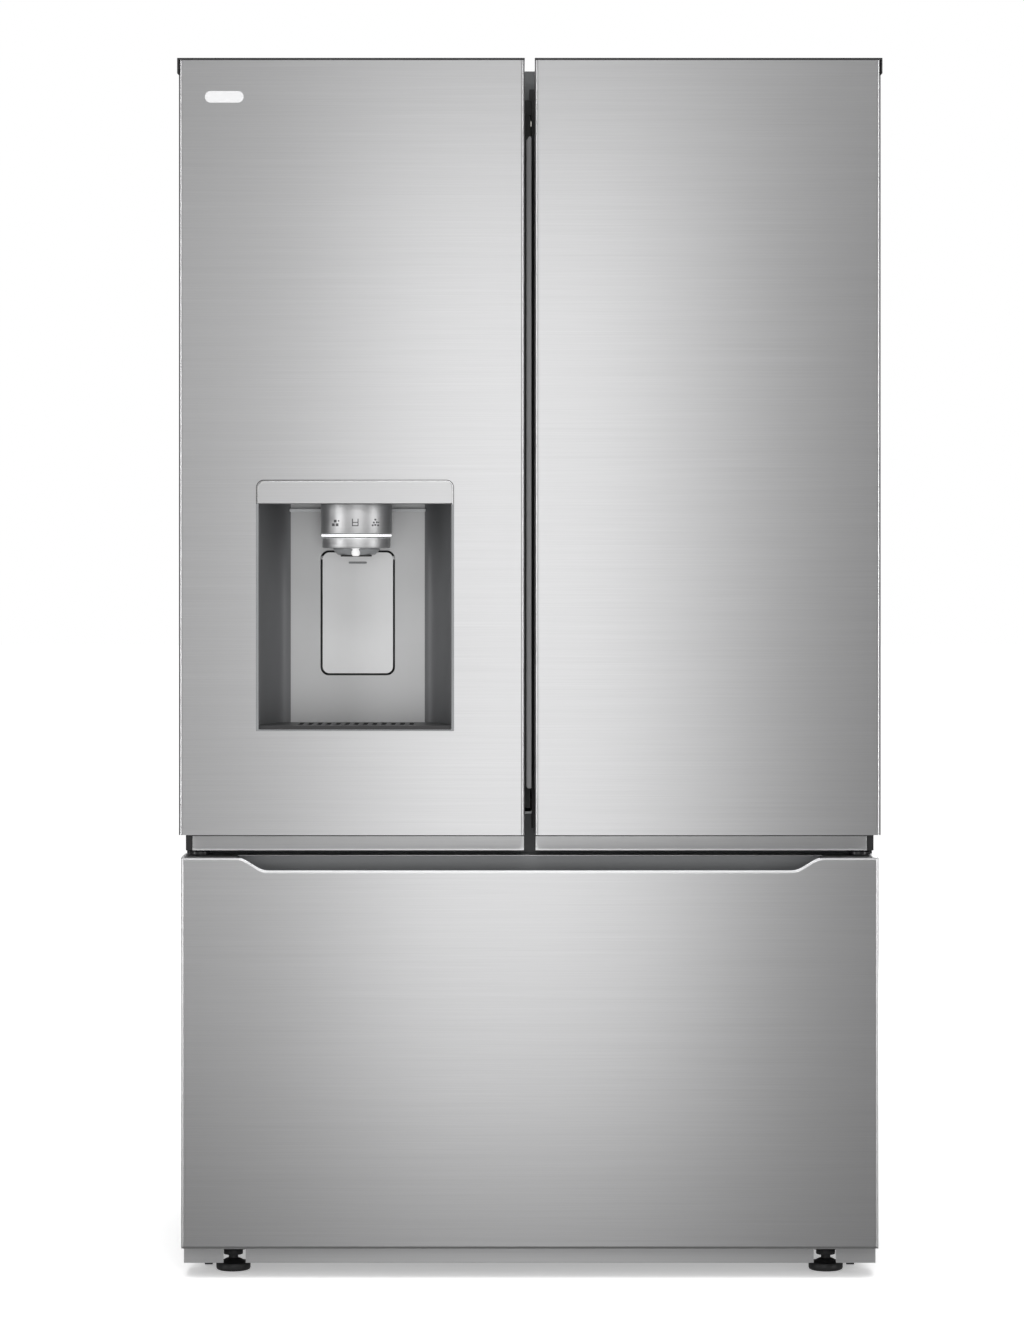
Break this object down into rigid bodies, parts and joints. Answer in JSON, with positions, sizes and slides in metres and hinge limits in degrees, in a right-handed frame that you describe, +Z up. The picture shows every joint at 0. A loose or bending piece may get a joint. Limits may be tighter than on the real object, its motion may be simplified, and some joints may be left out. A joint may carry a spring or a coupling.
{
  "type": "french door refrigerator",
  "caption": "Free-standing refrigerator with side-by-side upper doors, a door dispenser with paddle and tray, and a full-width freezer drawer below.",
  "frame": {"origin": "on the floor, under the middle of the body", "axes": "+Z up, doors face -Y, +X to the right when facing the doors"},
  "size_m": [0.912, 0.73, 1.58],
  "materials": {
    "cabinet_paint": "satin",
    "galvanised": "matte",
    "foam": "matte",
    "white_liner": "satin",
    "stainless": "satin",
    "dark_plastic": "matte",
    "grey_plastic": "satin",
    "light_grey_plastic": "satin",
    "black_paint": "satin",
    "seal": "matte",
    "clear_plastic": "gloss",
    "shelf_glass": "polished",
    "bright_metal": "satin",
    "lamp": "gloss",
    "zinc_steel": "satin",
    "foam_core": "satin"
  },
  "bodies": {
    "cabinet": {"cabinet_wrapper": "cabinet_paint", "rear_panel": "galvanised", "cabinet_foam": "foam", "fresh_liner": "white_liner", "freezer_liner": "white_liner", "front_rails": "cabinet_paint", "base_frame": "galvanised", "kick_plate": "stainless", "compressor": "black_paint", "condenser_coil": "black_paint", "rear_cover": "grey_plastic", "water_valve": "light_grey_plastic", "evaporator_cover": "white_liner", "evaporator_coil": "bright_metal", "air_duct": "white_liner", "ceiling_light": "lamp", "shelf_tracks": "zinc_steel", "shelf_frames": "light_grey_plastic", "shelf_glass": "shelf_glass", "hinge_brackets": "zinc_steel", "hinge_covers": "dark_plastic", "freezer_rails_fixed": "zinc_steel"},
    "left_door": {"left_door_skin": "stainless", "left_door_core": "foam_core", "left_door_caps": "dark_plastic", "left_gasket": "seal", "left_side_grip": "dark_plastic", "dispenser_housing": "grey_plastic", "dispenser_hood": "bright_metal", "dispenser_head": "bright_metal", "dispenser_spout": "light_grey_plastic", "ice_compartment": "white_liner", "left_door_bins": "clear_plastic"},
    "right_door": {"right_door_skin": "stainless", "right_door_core": "foam_core", "right_door_caps": "dark_plastic", "right_gasket": "seal", "right_side_grip": "dark_plastic", "right_door_bins": "clear_plastic"},
    "freezer_drawer": {"drawer_skin": "stainless", "drawer_core": "foam_core", "drawer_handle": "grey_plastic", "drawer_gasket": "seal", "drawer_rails": "zinc_steel", "freezer_basket": "light_grey_plastic"},
    "dispenser_paddle": {"dispenser_paddle": "light_grey_plastic"},
    "drip_tray": {"drip_tray": "dark_plastic"},
    "mullion": {"mullion": "grey_plastic"},
    "dairy_lid": {"dairy_lid": "clear_plastic"},
    "left_crisper": {"left_crisper": "clear_plastic"},
    "right_crisper": {"right_crisper": "clear_plastic"},
    "pantry_drawer": {"pantry_drawer": "clear_plastic"},
    "freezer_rails_middle": {"freezer_rails_middle": "zinc_steel"},
    "freezer_tray": {"freezer_tray": "light_grey_plastic"},
    "left_foot": {"left_foot": "dark_plastic"},
    "right_foot": {"right_foot": "dark_plastic"},
    "front_rollers": {"front_rollers": "dark_plastic"},
    "rear_rollers": {"rear_rollers": "dark_plastic"},
    "condenser_fan": {"condenser_fan": "dark_plastic"},
    "evaporator_fan": {"evaporator_fan": "white_liner"}
  },
  "joints": [
    {"name": "left_door_hinge", "type": "hinge", "parent": "cabinet", "child": "left_door", "pos_m": [-0.43, -0.32, 1], "axis": [0, 0, -1], "range_deg": [0, 110]},
    {"name": "right_door_hinge", "type": "hinge", "parent": "cabinet", "child": "right_door", "pos_m": [0.43, -0.32, 1], "axis": [0, 0, 1], "range_deg": [0, 110]},
    {"name": "freezer_drawer_slide", "type": "slide", "parent": "cabinet", "child": "freezer_drawer", "axis": [0, -1, 0], "range_m": [0, 0.32]},
    {"name": "freezer_rails_slide", "type": "slide", "parent": "cabinet", "child": "freezer_rails_middle", "axis": [0, -1, 0], "range_m": [0, 0.16]},
    {"name": "freezer_tray_slide", "type": "slide", "parent": "freezer_drawer", "child": "freezer_tray", "axis": [0, 1, 0], "range_m": [0, 0.11]},
    {"name": "mullion_hinge", "type": "hinge", "parent": "left_door", "child": "mullion", "pos_m": [-0.036, -0.27, 1.06], "axis": [0, 0, 1], "range_deg": [0, 85]},
    {"name": "paddle_hinge", "type": "hinge", "parent": "left_door", "child": "dispenser_paddle", "pos_m": [-0.226, -0.26, 0.933], "axis": [1, 0, 0], "range_deg": [0, 6], "stiffness_Nm_per_rad": 1.5, "springref_deg": -8.59},
    {"name": "drip_tray_lift", "type": "slide", "parent": "left_door", "child": "drip_tray", "axis": [0, 0, 1], "range_m": [0, 0.06]},
    {"name": "dairy_lid_hinge", "type": "hinge", "parent": "right_door", "child": "dairy_lid", "pos_m": [0.222, -0.284, 1.4345], "axis": [1, 0, 0], "range_deg": [0, 60]},
    {"name": "left_crisper_slide", "type": "slide", "parent": "cabinet", "child": "left_crisper", "axis": [0, -1, 0], "range_m": [0, 0.07]},
    {"name": "right_crisper_slide", "type": "slide", "parent": "cabinet", "child": "right_crisper", "axis": [0, -1, 0], "range_m": [0, 0.07]},
    {"name": "pantry_drawer_slide", "type": "slide", "parent": "cabinet", "child": "pantry_drawer", "axis": [0, -1, 0], "range_m": [0, 0.07]},
    {"name": "left_foot_screw", "type": "hinge", "parent": "cabinet", "child": "left_foot", "pos_m": [-0.3885, -0.283, 0.02], "axis": [0, 0, 1], "continuous": true},
    {"name": "right_foot_screw", "type": "hinge", "parent": "cabinet", "child": "right_foot", "pos_m": [0.3885, -0.283, 0.02], "axis": [0, 0, 1], "continuous": true},
    {"name": "front_rollers_spin", "type": "hinge", "parent": "cabinet", "child": "front_rollers", "pos_m": [0, -0.25, 0.015], "axis": [1, 0, 0], "continuous": true},
    {"name": "rear_rollers_spin", "type": "hinge", "parent": "cabinet", "child": "rear_rollers", "pos_m": [0, 0.3, 0.02], "axis": [1, 0, 0], "continuous": true},
    {"name": "condenser_fan_spin", "type": "hinge", "parent": "cabinet", "child": "condenser_fan", "pos_m": [0.04, 0.281, 0.17], "axis": [1, 0, 0], "continuous": true},
    {"name": "evaporator_fan_spin", "type": "hinge", "parent": "cabinet", "child": "evaporator_fan", "pos_m": [0, 0.115, 0.44], "axis": [0, 1, 0], "continuous": true}
  ],
  "couplings": [
    {"joint": "freezer_rails_slide", "follows": "freezer_drawer_slide", "ratio": 0.5}
  ]
}
